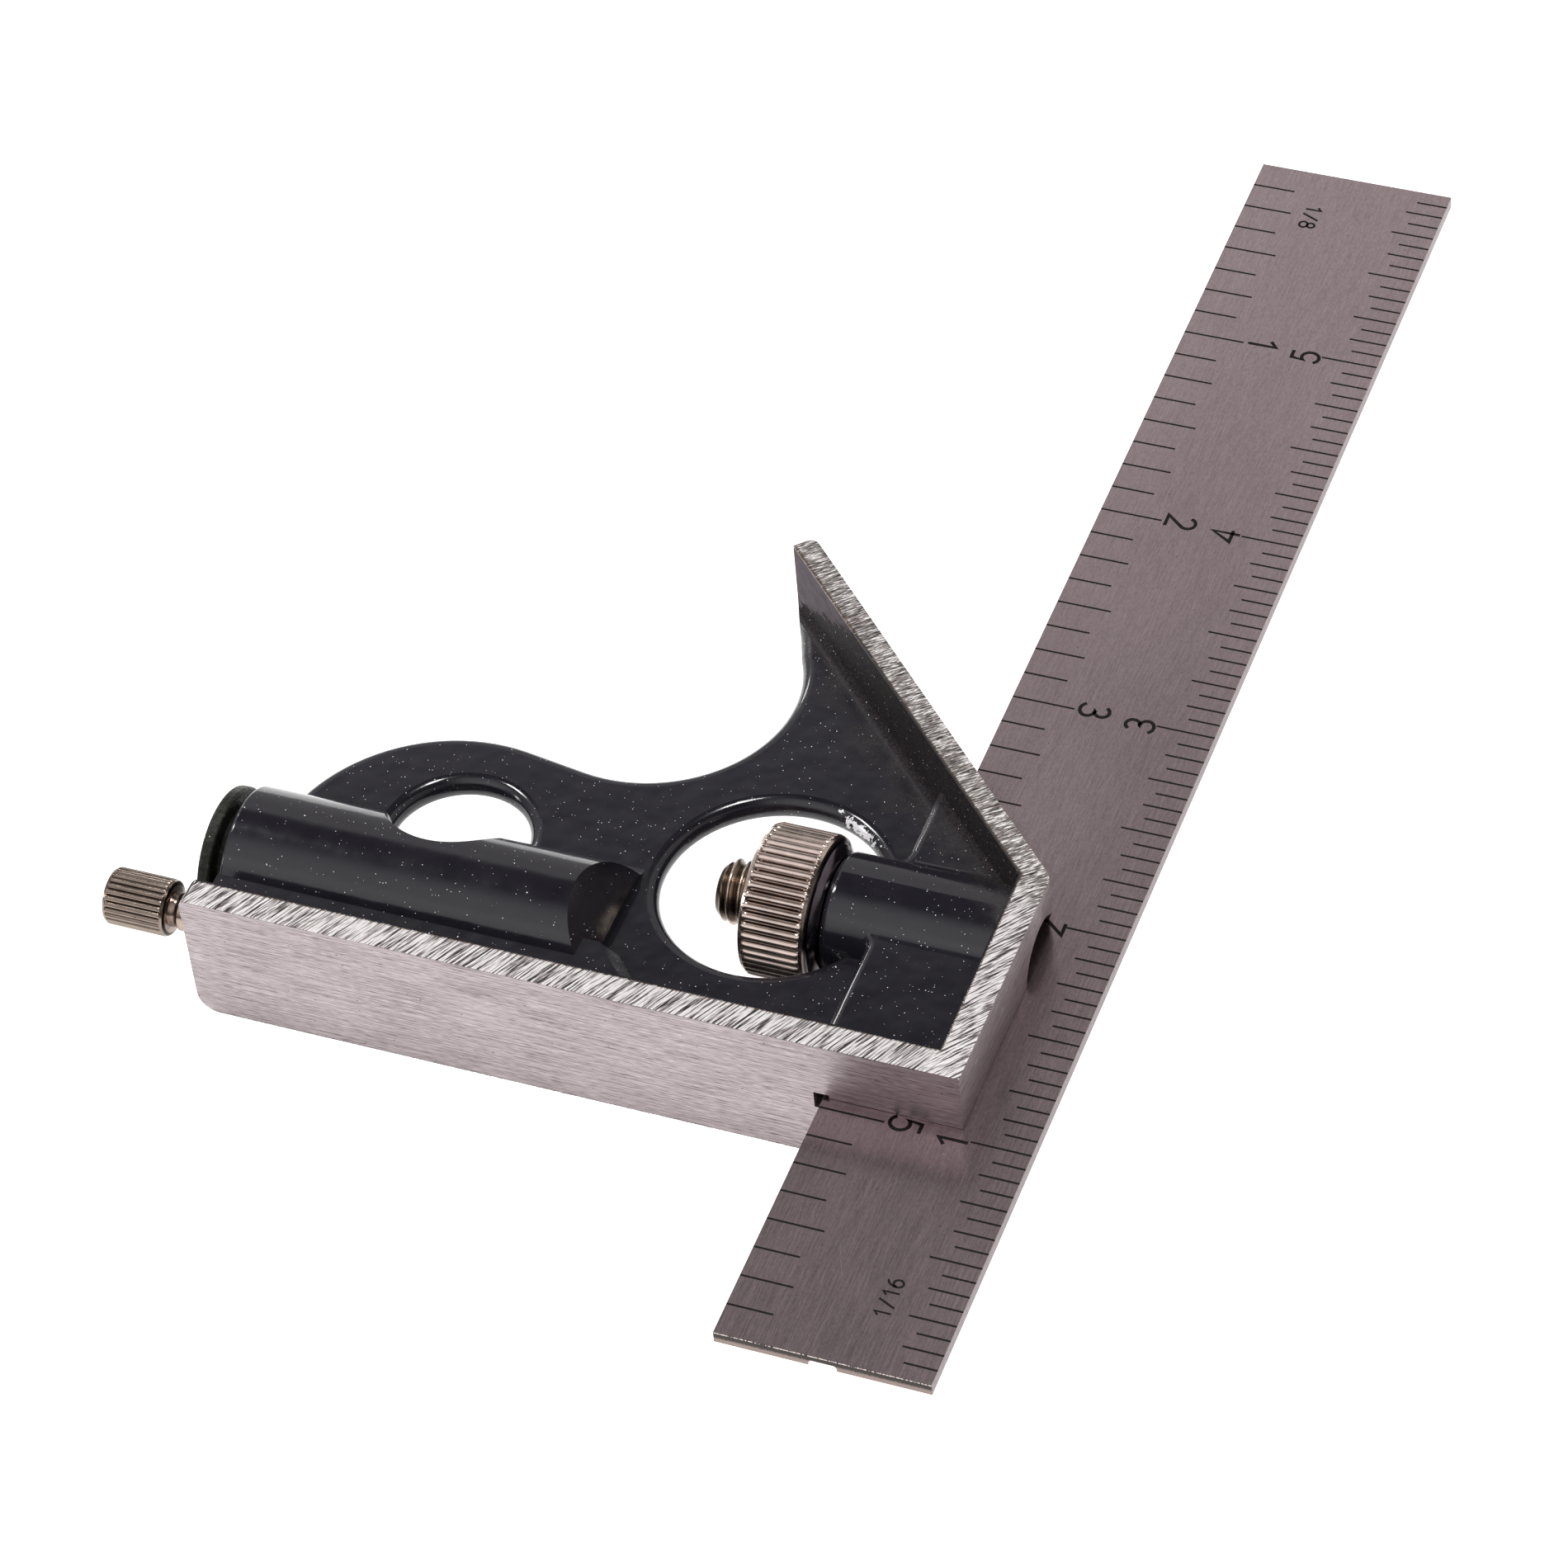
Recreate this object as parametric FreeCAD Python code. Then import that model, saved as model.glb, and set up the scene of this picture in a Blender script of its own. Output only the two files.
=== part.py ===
import FreeCAD, Part
import math
import os

# Combination square lying on its side: a cast head with a square and a mitre face, a sliding grooved
# blade, a clamp bolt with a knurled nut, a spirit level and a scriber kept in the head.
# Millimetres. X runs along the working face, Y along the blade, Z up through the head's thickness.
# The origin is where the blade's bearing edge meets the working face, on the underside of the head.

V = FreeCAD.Vector

# Head
HEAD_THICKNESS = 14.0
MID = HEAD_THICKNESS / 2
STOCK_LEFT = -59.3
WALL_OUTER = 12.5
MITRE_SUM = 36.5            # x + y on the 45 degree face
TIP_X = -21.5
STOCK_RIM = 2.8
SIDE_RIM = 2.7
MITRE_RIM = 2.2
RIM_DRAFT = 0.5
RIM_END_ROUND = 1.0                 # plan radius on the inner corner of the stock's end
CASTING_FILLET = 1.0
WEB_HALF = 1.2
LIP_RADIUS = 1.15                   # the web's free edges are almost fully round
HUMP = (-41.9, 15.3, 15.9)          # centre x, centre y, radius
BAY = (-31.5, 42.9, 13.0)
BAY_END_ANGLE = 28.0
NUT_WINDOW = (-12.35, 21.15, 10.1)
SIGHT_HOLE = (-41.4, 19.4, 6.25)
JAW_LEFT = -1.5
JAW_HALF = 3.6
JAW_CORNER = 1.6                    # plan fillet between the jaw's step and the boss
JAW_EDGE = 0.9

# Blade, standing out of the working face by the overhang
BLADE_LENGTH = 152.4
BLADE_WIDTH = 19.0
BLADE_THICKNESS = 1.2
BLADE_OVERHANG = 26.5
BLADE_TOP = MID + BLADE_THICKNESS / 2
BLADE_UNDER = MID - BLADE_THICKNESS / 2
GROOVE_LEFT = 8.25
GROOVE_WIDTH = 2.5
GROOVE_DEPTH = 0.6
SLOT_GAP = 0.04
STOCK_RELIEF_LEFT = -0.9
MITRE_RELIEF_LEFT = -1.6         # work laid on the mitre face clears the blade's edge

# Clamp
CLAMP_Y = 20.7
BOSS_RADIUS = 5.7
BOSS_LEFT = -6.2
SHANK_BORE = 3.05
SHANK_RADIUS = 2.95
COUNTERBORE = 4.0
COUNTERBORE_LEFT = -4.6
BOLT_HEAD_RADIUS = 3.92
BOLT_LEFT = -16.9
BOLT_RIGHT = 11.0
COLLAR_LEFT = -2.1
COLLAR_RIGHT = -0.9
TONGUE_WIDTH = 1.6
NUT_RADIUS = 6.85
NUT_LEFT = -13.2
NUT_KNURL_RIGHT = -7.6
NUT_RIBS = 44
SPRING_RADIUS = 3.5
SPRING_WIRE = 0.22
SPRING_TURNS = 3

# Spirit level
LEVEL_Y = 12.0
TUBE_RADIUS = 6.8
TUBE_LEFT = -58.8
TUBE_CREST_RIGHT = -27.0
TUBE_FOOT_RIGHT = -23.9
TUBE_FOOT_HALF = 2.2               # the chisel end stands a little above the web
TUBE_FLARE = 1.5
VIAL_BORE = 4.6
VIAL_BORE_RIGHT = -27.3
VIAL_RADIUS = 4.3
VIAL_WALL = 0.8
VIAL_LEFT = -54.3
VIAL_RIGHT = -27.8
PLUG_STANDOFF = 1.0            # gap between the plug's flange and the end of the housing
PLUG_NECK_RADIUS = 4.9

# Scriber
SCRIBER_Y = 4.7
SCRIBER_BOSS_HALF = 3.9
BUSH_RADIUS = 2.1
BUSH_LENGTH = 9.3
NEEDLE_RADIUS = 1.0
NEEDLE_TIP = -22.0
SCRIBER_HOLE_RIGHT = -20.5
SCRIBER_HEAD_RADIUS = 2.6
SCRIBER_HEAD_LEFT = -68.8
SCRIBER_HEAD_LENGTH = 6.0
SCRIBER_NECK_RADIUS = 1.8
SCRIBER_RIBS = 26

BIG = 200.0


def line(a, b):
    return Part.LineSegment(a, b).toShape()


def arc(a, middle, b):
    return Part.Arc(a, middle, b).toShape()


def on_circle(circle, degrees, z=0.0):
    x, y, radius = circle
    angle = math.radians(degrees)
    return V(x + radius * math.cos(angle), y + radius * math.sin(angle), z)


def prism(points, z0, z1):
    """Upright prism over a plan outline of (x, y) points."""
    corners = [V(x, y, z0) for x, y in points]
    return Part.Face(Part.makePolygon(corners + corners[:1])).extrude(V(0, 0, z1 - z0))


def box(x0, x1, y0, y1, z0, z1):
    return Part.makeBox(x1 - x0, y1 - y0, z1 - z0, V(x0, y0, z0))


def rod(radius, x0, x1, y, z=MID):
    """Cylinder lying along X."""
    return Part.makeCylinder(radius, x1 - x0, V(x0, y, z), V(1, 0, 0))


def post(circle, z0=-1.0, z1=HEAD_THICKNESS + 1.0):
    """Upright cylinder over a plan circle."""
    x, y, radius = circle
    return Part.makeCylinder(radius, z1 - z0, V(x, y, z0))


def edges_at(shape, *points, reach=0.2):
    """The edges whose centres of mass lie at the given points."""
    return [e for e in shape.Edges if any(e.CenterOfMass.distanceToPoint(p) < reach for p in points)]


def fused(first, *others):
    return first.multiFuse(list(others)).removeSplitter()


# ---------------------------------------------------------------- head casting

def head_envelope():
    """Everything inside the machined faces, with the corners rounded as they are on the rim."""
    tip_y = MITRE_SUM - TIP_X
    end = (MITRE_RIM + 3.0) / math.sqrt(2)
    plan = [
        (STOCK_LEFT, 0),
        (WALL_OUTER, 0),
        (WALL_OUTER, MITRE_SUM - WALL_OUTER),
        (TIP_X, tip_y),
        (TIP_X - end, tip_y - end),
        (STOCK_LEFT, 20.0),
    ]
    solid = prism(plan, 0, HEAD_THICKNESS)
    low_end = V(STOCK_LEFT, 10.0, 0)
    high_end = V(STOCK_LEFT, 10.0, HEAD_THICKNESS)
    solid = solid.makeFillet(2.0, edges_at(solid, low_end))
    solid = solid.makeFillet(0.7, edges_at(solid, high_end, reach=0.6))
    corner = V(WALL_OUTER, MITRE_SUM - WALL_OUTER, MID)
    tip = V(TIP_X, tip_y, MID)
    solid = solid.makeFillet(1.5, edges_at(solid, corner))
    return solid.makeFillet(0.9, edges_at(solid, tip))


def rim_wall(start, inward, along, width):
    """Full-height wall with drafted inner sides that run into the web with a casting fillet."""
    foot = width + RIM_DRAFT
    reach = foot + CASTING_FILLET
    low = MID - WEB_HALF
    high = MID + WEB_HALF
    low_start = low - CASTING_FILLET
    high_end = high + CASTING_FILLET
    bulge = CASTING_FILLET / math.sqrt(2)

    def at(across, z):
        return start + inward * across + V(0, 0, z)

    edges = [
        line(at(0, 0), at(width, 0)),
        line(at(width, 0), at(foot, low_start)),
        arc(at(foot, low_start), at(reach - bulge, low_start + bulge), at(reach, low)),
        line(at(reach, low), at(reach, high)),
        arc(at(reach, high), at(reach - bulge, high_end - bulge), at(foot, high_end)),
        line(at(foot, high_end), at(width, HEAD_THICKNESS)),
        line(at(width, HEAD_THICKNESS), at(0, HEAD_THICKNESS)),
        line(at(0, HEAD_THICKNESS), at(0, 0)),
    ]
    return Part.Face(Part.Wire(edges)).extrude(along)


def rims():
    """The stock under the working face, the side wall and the mitre fin."""
    diagonal = 1 / math.sqrt(2)
    stock = rim_wall(V(STOCK_LEFT, 0, 0), V(0, 1, 0), V(WALL_OUTER - STOCK_LEFT, 0, 0), STOCK_RIM)
    side = rim_wall(V(WALL_OUTER, 0, 0), V(-1, 0, 0), V(0, 26.0, 0), SIDE_RIM)
    fin_start_x = WALL_OUTER + 1.5
    fin_run = fin_start_x - TIP_X
    fin = rim_wall(
        V(fin_start_x, MITRE_SUM - fin_start_x, 0),
        V(-diagonal, -diagonal, 0),
        V(-fin_run, fin_run, 0),
        MITRE_RIM,
    )
    return fused(stock, side, fin).cut(tip_relief()).cut(stock_end_corners())


def stock_end_corners():
    """What is rounded off the inner corner of the stock's end, above and below the scriber's boss."""
    x = STOCK_LEFT + RIM_END_ROUND
    y = STOCK_RIM + 0.1 - RIM_END_ROUND
    corners = []
    for z0, z1 in ((-1, MID - SCRIBER_BOSS_HALF), (MID + SCRIBER_BOSS_HALF, HEAD_THICKNESS + 1)):
        corner = box(STOCK_LEFT - 1, x, y, y + RIM_END_ROUND + 1, z0, z1)
        corners.append(corner.cut(post((x, y, RIM_END_ROUND))))
    return Part.makeCompound(corners)


def tip_relief():
    """Clears the foot of the fin beside its tip, so that the end of the fin is a plain bar."""
    tip_x, tip_y = inner_tip()
    bay_end = on_circle(BAY, BAY_END_ANGLE)
    plan = [(tip_x, tip_y), (bay_end.x, bay_end.y), (bay_end.x - 5, bay_end.y), (tip_x - 4, tip_y + 4)]
    return prism(plan, -1, HEAD_THICKNESS + 1)


def inner_tip():
    """The inner corner of the fin's end, where the web's edge runs out."""
    end = MITRE_RIM / math.sqrt(2)
    return TIP_X - end, MITRE_SUM - TIP_X - end


def web_outline(z):
    """Plan outline of the web: the hump by the sight hole, the round bay and the run to the fin's tip."""
    hump_x, hump_y, hump_r = HUMP
    bay_x, bay_y, bay_r = BAY
    gap = math.hypot(bay_x - hump_x, bay_y - hump_y)
    lean = math.degrees(math.atan2(bay_y - hump_y, bay_x - hump_x))
    tangent = lean + math.degrees(math.acos((hump_r + bay_r) / gap))
    hump_end = on_circle(HUMP, tangent, z)
    bay_start = on_circle(BAY, tangent + 180, z)
    bay_end = on_circle(BAY, BAY_END_ANGLE, z)
    left_top = on_circle(HUMP, 180, z)
    left_foot = V(left_top.x, 1.0, z)
    right_foot = V(WALL_OUTER - 1, 1.0, z)
    right_top = V(WALL_OUTER - 1, MITRE_SUM - WALL_OUTER, z)
    fin_tip = V(TIP_X - 0.6, MITRE_SUM - TIP_X - 1.0, z)
    tip_x, tip_y = inner_tip()
    web_tip = V(tip_x + 0.3, tip_y - 0.4, z)
    bay_middle = on_circle(BAY, (tangent + 180 + 360 + BAY_END_ANGLE) / 2, z)
    hump_middle = on_circle(HUMP, (180 + tangent) / 2, z)
    return Part.Wire([
        line(left_foot, left_top),
        arc(left_top, hump_middle, hump_end),
        line(hump_end, bay_start),
        arc(bay_start, bay_middle, bay_end),
        line(bay_end, web_tip),
        line(web_tip, fin_tip),
        line(fin_tip, right_top),
        line(right_top, right_foot),
        line(right_foot, left_foot),
    ])


def web():
    """The thin plate between the rims, pierced by the nut window and the sight hole, with rounded lips."""
    thickness = 2 * WEB_HALF
    plate = Part.Face(web_outline(MID - WEB_HALF)).extrude(V(0, 0, thickness))
    plate = plate.cut(post(NUT_WINDOW)).cut(post(SIGHT_HOLE))
    lips = [e for e in plate.Edges if abs(e.BoundBox.ZLength) < 1e-6 and on_free_edge(e)]
    return plate.makeFillet(LIP_RADIUS, lips)


def on_free_edge(edge):
    """True for the edges of the two openings and of the hump and bay, not those buried in the rims."""
    if edge.Curve.TypeId == "Part::GeomCircle":
        return True
    middle = edge.CenterOfMass
    inside_stock = middle.y < STOCK_RIM
    inside_side = middle.x > WALL_OUTER - SIDE_RIM
    inside_fin = middle.x + middle.y > MITRE_SUM - 3.6
    return not (inside_stock or inside_side or inside_fin)


def flared_rod(radius, axis_y, half, flare, x0, x1):
    """Rod along X that runs into flat ground on both sides with a concave fillet, top and bottom."""
    height = half + flare
    offset = math.sqrt((radius + flare) ** 2 - height ** 2)
    share = radius / (radius + flare)

    def corner(side_y, side_z):
        centre = V(x0, axis_y + side_y * offset, MID + side_z * height)
        foot = V(x0, centre.y, MID + side_z * half)
        touch = V(x0, axis_y + side_y * offset * share, MID + side_z * height * share)
        towards = (foot - centre) + (touch - centre)
        return foot, centre + towards.normalize() * flare, touch

    far_top = corner(1, 1)
    near_top = corner(-1, 1)
    near_low = corner(-1, -1)
    far_low = corner(1, -1)
    crest = V(x0, axis_y, MID + radius)
    trough = V(x0, axis_y, MID - radius)
    section = Part.Wire([
        arc(*far_top),
        arc(far_top[2], crest, near_top[2]),
        arc(*reversed(near_top)),
        line(near_top[0], near_low[0]),
        arc(*near_low),
        arc(near_low[2], trough, far_low[2]),
        arc(*reversed(far_low)),
        line(far_low[0], far_top[0]),
    ])
    return Part.Face(section).extrude(V(x1 - x0, 0, 0))


def level_housing():
    """The tube that holds the vial, chiselled down at its right end and cut by the sight hole."""
    barrel = rod(TUBE_RADIUS, TUBE_LEFT, TUBE_FOOT_RIGHT, LEVEL_Y)
    left_rim = V(TUBE_LEFT, LEVEL_Y, MID)
    barrel = barrel.makeFillet(0.4, edges_at(barrel, left_rim))
    flare = flared_rod(TUBE_RADIUS, LEVEL_Y, WEB_HALF, TUBE_FLARE, TUBE_LEFT, TUBE_FOOT_RIGHT)
    flat_of_web = Part.Face(web_outline(0).makeOffset2D(-LIP_RADIUS)).extrude(V(0, 0, HEAD_THICKNESS))
    hole_x, hole_y, hole_r = SIGHT_HOLE
    flare = flare.common(flat_of_web).cut(post((hole_x, hole_y, hole_r + LIP_RADIUS)))
    chisel = [
        V(TUBE_LEFT - 1, 0, 0),
        V(TUBE_CREST_RIGHT, 0, 0),
        V(TUBE_FOOT_RIGHT, 0, MID - TUBE_FOOT_HALF),
        V(TUBE_FOOT_RIGHT, 0, MID + TUBE_FOOT_HALF),
        V(TUBE_CREST_RIGHT, 0, HEAD_THICKNESS),
        V(TUBE_LEFT - 1, 0, HEAD_THICKNESS),
    ]
    wedge = Part.Face(Part.makePolygon(chisel + chisel[:1])).extrude(V(0, 30.0, 0))
    return barrel.cut(post(SIGHT_HOLE)).fuse(flare).common(wedge)


def scriber_boss():
    """The low strip between the level housing and the stock that carries the scriber's hole."""
    plan = [
        (STOCK_LEFT + 0.5, 1.5),
        (-17.2, 1.5),
        (-17.2, STOCK_RIM + 0.8),
        (-21.8, 8.5),
        (STOCK_LEFT + 0.5, 8.5),
    ]
    strip = prism(plan, MID - SCRIBER_BOSS_HALF, MID + SCRIBER_BOSS_HALF)
    ramps = [e for e in strip.Edges if e.BoundBox.ZLength < 1e-6 and -20.5 < e.CenterOfMass.x < -19.0]
    return strip.makeChamfer(1.2, ramps)


def jaw_block():
    """The thicker block on both sides of the blade slot, its step curving into the flanks of the boss."""
    flank = math.sqrt(BOSS_RADIUS ** 2 - JAW_HALF ** 2)
    near = CLAMP_Y - flank
    far = CLAMP_Y + flank
    corner_x = JAW_LEFT - JAW_CORNER
    bulge = JAW_CORNER / math.sqrt(2)
    z = MID - JAW_HALF

    def at(x, y):
        return V(x, y, z)

    near_middle = at(corner_x + bulge, near - JAW_CORNER + bulge)
    far_middle = at(corner_x + bulge, far + JAW_CORNER - bulge)
    outline = Part.Wire([
        line(at(JAW_LEFT, 1.5), at(JAW_LEFT, near - JAW_CORNER)),
        arc(at(JAW_LEFT, near - JAW_CORNER), near_middle, at(corner_x, near)),
        line(at(corner_x, near), at(corner_x, far)),
        arc(at(corner_x, far), far_middle, at(JAW_LEFT, far + JAW_CORNER)),
        line(at(JAW_LEFT, far + JAW_CORNER), at(JAW_LEFT, MITRE_SUM - JAW_LEFT - 1.5)),
        line(at(JAW_LEFT, MITRE_SUM - JAW_LEFT - 1.5), at(WALL_OUTER - 1, MITRE_SUM - WALL_OUTER)),
        line(at(WALL_OUTER - 1, MITRE_SUM - WALL_OUTER), at(WALL_OUTER - 1, 1.5)),
        line(at(WALL_OUTER - 1, 1.5), at(JAW_LEFT, 1.5)),
    ])
    block = Part.Face(outline).extrude(V(0, 0, 2 * JAW_HALF))
    step_edges = [e for e in block.Edges if e.BoundBox.ZLength < 1e-6 and on_jaw_step(e)]
    return block.makeFillet(JAW_EDGE, step_edges)


def on_jaw_step(edge):
    """True for the step's straight edges and for the arcs that join them to the boss."""
    if edge.Curve.TypeId == "Part::GeomCircle":
        return True
    along_step = edge.BoundBox.XLength < 1e-6
    return along_step and abs(edge.CenterOfMass.x - JAW_LEFT) < 1e-6


def clamp_boss():
    """The round boss that the nut bears on, in the jaw block."""
    boss = rod(BOSS_RADIUS, BOSS_LEFT, WALL_OUTER - 1, CLAMP_Y)
    boss = boss.makeFillet(0.8, edges_at(boss, V(BOSS_LEFT, CLAMP_Y, MID)))
    flare = flared_rod(BOSS_RADIUS, CLAMP_Y, JAW_HALF, 1.0, JAW_LEFT + JAW_EDGE, WALL_OUTER - 1)
    return fused(jaw_block(), boss, flare)


def blade_slot():
    """The blade's slot, open at the side wall, with a relief at each end of its bearing edge."""
    slot = box(
        -SLOT_GAP, WALL_OUTER + 5, -5, 45,
        BLADE_UNDER - SLOT_GAP, BLADE_TOP + SLOT_GAP,
    )
    low = BLADE_UNDER - 0.3
    high = BLADE_TOP + 0.4
    stock_relief = box(STOCK_RELIEF_LEFT, 0.5, -1, 3.0, low, high)
    mitre_relief = box(MITRE_RELIEF_LEFT, 0.5, 33.0, 40.0, low, high)
    return slot.multiFuse([stock_relief, mitre_relief])


def head_casting():
    bores = [
        rod(SHANK_BORE, BOSS_LEFT - 1, COUNTERBORE_LEFT + 1, CLAMP_Y),
        rod(COUNTERBORE, COUNTERBORE_LEFT, WALL_OUTER + 1, CLAMP_Y),
        rod(VIAL_BORE, TUBE_LEFT - 1, VIAL_BORE_RIGHT, LEVEL_Y),
        rod(BUSH_RADIUS, STOCK_LEFT - 1, STOCK_LEFT + BUSH_LENGTH, SCRIBER_Y),
        rod(NEEDLE_RADIUS + 0.25, STOCK_LEFT + BUSH_LENGTH - 1, SCRIBER_HOLE_RIGHT, SCRIBER_Y),
    ]
    walls = rims().common(head_envelope())
    body = fused(walls, web(), scriber_boss(), level_housing(), clamp_boss())
    for bore in bores:
        body = body.cut(bore)
    return body.cut(blade_slot()).removeSplitter()


# ---------------------------------------------------------------- blade

def blade():
    y0 = -BLADE_OVERHANG
    y1 = y0 + BLADE_LENGTH
    rule = box(0, BLADE_WIDTH, y0, y1, BLADE_UNDER, BLADE_TOP)
    groove = box(
        GROOVE_LEFT, GROOVE_LEFT + GROOVE_WIDTH, y0 - 1, y1 + 1,
        BLADE_UNDER - 1, BLADE_UNDER + GROOVE_DEPTH,
    )
    middle_y = (y0 + y1) / 2
    top = BLADE_UNDER + GROOVE_DEPTH
    left_edge = V(GROOVE_LEFT, middle_y, top)
    right_edge = V(GROOVE_LEFT + GROOVE_WIDTH, middle_y, top)
    return rule.cut(groove.makeFillet(0.35, edges_at(groove, left_edge, right_edge)))


# ---------------------------------------------------------------- clamp

def clamp_bolt():
    """Bolt whose head passes under the blade and hooks its groove with a tongue."""
    shank = rod(SHANK_RADIUS, BOLT_LEFT, COLLAR_LEFT, CLAMP_Y)
    shank = shank.makeChamfer(0.5, edges_at(shank, V(BOLT_LEFT, CLAMP_Y, MID)))
    head = rod(BOLT_HEAD_RADIUS, COLLAR_LEFT, BOLT_RIGHT, CLAMP_Y)
    flat = BLADE_UNDER - 0.05
    head = head.cut(box(COLLAR_RIGHT, BOLT_RIGHT + 1, 0, BIG, flat, BIG))
    tongue_left = GROOVE_LEFT + 0.02
    tongue = box(
        tongue_left, tongue_left + TONGUE_WIDTH, CLAMP_Y - 2.5, CLAMP_Y + 2.5,
        flat - 0.5, BLADE_UNDER + GROOVE_DEPTH - 0.05,
    )
    top = BLADE_UNDER + GROOVE_DEPTH - 0.05
    ridge = edges_at(tongue, V(tongue_left, CLAMP_Y, top), V(tongue_left + TONGUE_WIDTH, CLAMP_Y, top))
    return fused(shank, head, tongue.makeFillet(0.35, ridge))


def knurled_rod(radius, depth, ribs, x0, x1, y, chamfer):
    """Rod along X with straight ribs and chamfered ends."""
    points = []
    for i in range(ribs):
        for share, reach in ((0.0, radius), (0.4, radius), (0.7, radius - depth)):
            angle = 2 * math.pi * (i + share) / ribs
            points.append(V(x0, y + reach * math.cos(angle), MID + reach * math.sin(angle)))
    ribbed = Part.Face(Part.makePolygon(points + points[:1])).extrude(V(x1 - x0, 0, 0))
    blank = rod(radius, x0, x1, y)
    ends = edges_at(blank, V(x0, y, MID), V(x1, y, MID))
    return ribbed.common(blank.makeChamfer(chamfer, ends))


def clamp_nut():
    """Knurled nut with a plain collar that bears on the boss."""
    knurl = knurled_rod(NUT_RADIUS, 0.35, NUT_RIBS, NUT_LEFT, NUT_KNURL_RIGHT, CLAMP_Y, 0.4)
    collar_right = BOSS_LEFT - 0.05
    collar = Part.makeCone(
        NUT_RADIUS - 0.5, NUT_RADIUS - 1.4, collar_right - NUT_KNURL_RIGHT,
        V(NUT_KNURL_RIGHT, CLAMP_Y, MID), V(1, 0, 0),
    )
    return fused(knurl, collar).cut(rod(SHANK_BORE, NUT_LEFT - 1, collar_right + 1, CLAMP_Y))


def clamp_spring():
    """Compression spring round the shank, between the counterbore's shoulder and the bolt's collar."""
    start = COUNTERBORE_LEFT + SPRING_WIRE
    length = COLLAR_LEFT - SPRING_WIRE - start
    helix = Part.makeHelix(length / SPRING_TURNS, length, SPRING_RADIUS)
    section = Part.Wire(Part.makeCircle(SPRING_WIRE, V(SPRING_RADIUS, 0, 0), V(0, 1, 0)))
    coil = Part.Wire(helix).makePipeShell([section], True, True)
    coil.rotate(V(0, 0, 0), V(0, 1, 0), 90)
    coil.translate(V(start, CLAMP_Y, MID))
    return coil


# ---------------------------------------------------------------- spirit level

def level_end_plug():
    """Dark turned plug that closes the housing, scalloped below so that the scriber passes it."""
    flange = rod(TUBE_RADIUS - 0.4, TUBE_LEFT - PLUG_STANDOFF - 1.2, TUBE_LEFT - PLUG_STANDOFF, LEVEL_Y)
    outer_rim = V(TUBE_LEFT - PLUG_STANDOFF - 1.2, LEVEL_Y, MID)
    inner_rim = V(TUBE_LEFT - PLUG_STANDOFF, LEVEL_Y, MID)
    flange = flange.makeFillet(0.3, edges_at(flange, outer_rim, inner_rim))
    neck = rod(PLUG_NECK_RADIUS, TUBE_LEFT - PLUG_STANDOFF - 0.1, TUBE_LEFT, LEVEL_Y)
    spigot = rod(VIAL_BORE - 0.02, TUBE_LEFT - 0.1, VIAL_LEFT - 0.4, LEVEL_Y)
    scallop = rod(BUSH_RADIUS + 0.2, TUBE_LEFT - 5, TUBE_LEFT, SCRIBER_Y)
    return fused(flange, neck, spigot).cut(scallop)


def capsule(radius, x0, x1, rounding):
    body = rod(radius, x0, x1, LEVEL_Y)
    return body.makeFillet(rounding, edges_at(body, V(x0, LEVEL_Y, MID), V(x1, LEVEL_Y, MID)))


def level_vial():
    inner = capsule(VIAL_RADIUS - VIAL_WALL, VIAL_LEFT + 1.2, VIAL_RIGHT - 1.2, 1.0)
    return capsule(VIAL_RADIUS, VIAL_LEFT, VIAL_RIGHT, 1.5).cut(inner)


def level_liquid():
    """The liquid that fills the vial, less the bubble resting at its highest side."""
    radius = VIAL_RADIUS - VIAL_WALL - 0.02
    fill = capsule(radius, VIAL_LEFT + 1.22, VIAL_RIGHT - 1.22, 1.0)
    bubble = Part.makeSphere(1.0)
    shape = FreeCAD.Matrix()
    shape.scale(3.6, 1.9, 1.3)
    bubble = bubble.transformGeometry(shape)
    bubble.translate(V((VIAL_LEFT + VIAL_RIGHT) / 2, LEVEL_Y, MID + radius - 1.4))
    return fill.cut(bubble)


def level_bedding():
    """Two rings of setting plaster that hold the vial in its bore, clear of the sight window."""
    rings = []
    for x0 in (VIAL_LEFT + 1.5, VIAL_RIGHT - 6.5):
        outer = rod(VIAL_BORE - 0.01, x0, x0 + 5.0, LEVEL_Y)
        rings.append(outer.cut(rod(VIAL_RADIUS + 0.01, x0 - 1, x0 + 6.0, LEVEL_Y)))
    return Part.makeCompound(rings)


# ---------------------------------------------------------------- scriber

def scriber_bush():
    outer = rod(BUSH_RADIUS, STOCK_LEFT, STOCK_LEFT + BUSH_LENGTH, SCRIBER_Y)
    return outer.cut(rod(NEEDLE_RADIUS + 0.06, STOCK_LEFT - 1, STOCK_LEFT + BUSH_LENGTH + 1, SCRIBER_Y))


def scriber_socket_end():
    return SCRIBER_HEAD_LEFT + 2.8


def scriber_head():
    left = SCRIBER_HEAD_LEFT
    knurl_right = left + SCRIBER_HEAD_LENGTH
    knurl = knurled_rod(SCRIBER_HEAD_RADIUS, 0.2, SCRIBER_RIBS, left, knurl_right, SCRIBER_Y, 0.4)
    neck = rod(SCRIBER_NECK_RADIUS, knurl_right - 0.1, STOCK_LEFT - 0.05, SCRIBER_Y)
    socket = rod(NEEDLE_RADIUS, scriber_socket_end(), STOCK_LEFT, SCRIBER_Y)
    return fused(knurl, neck).cut(socket)


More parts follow.
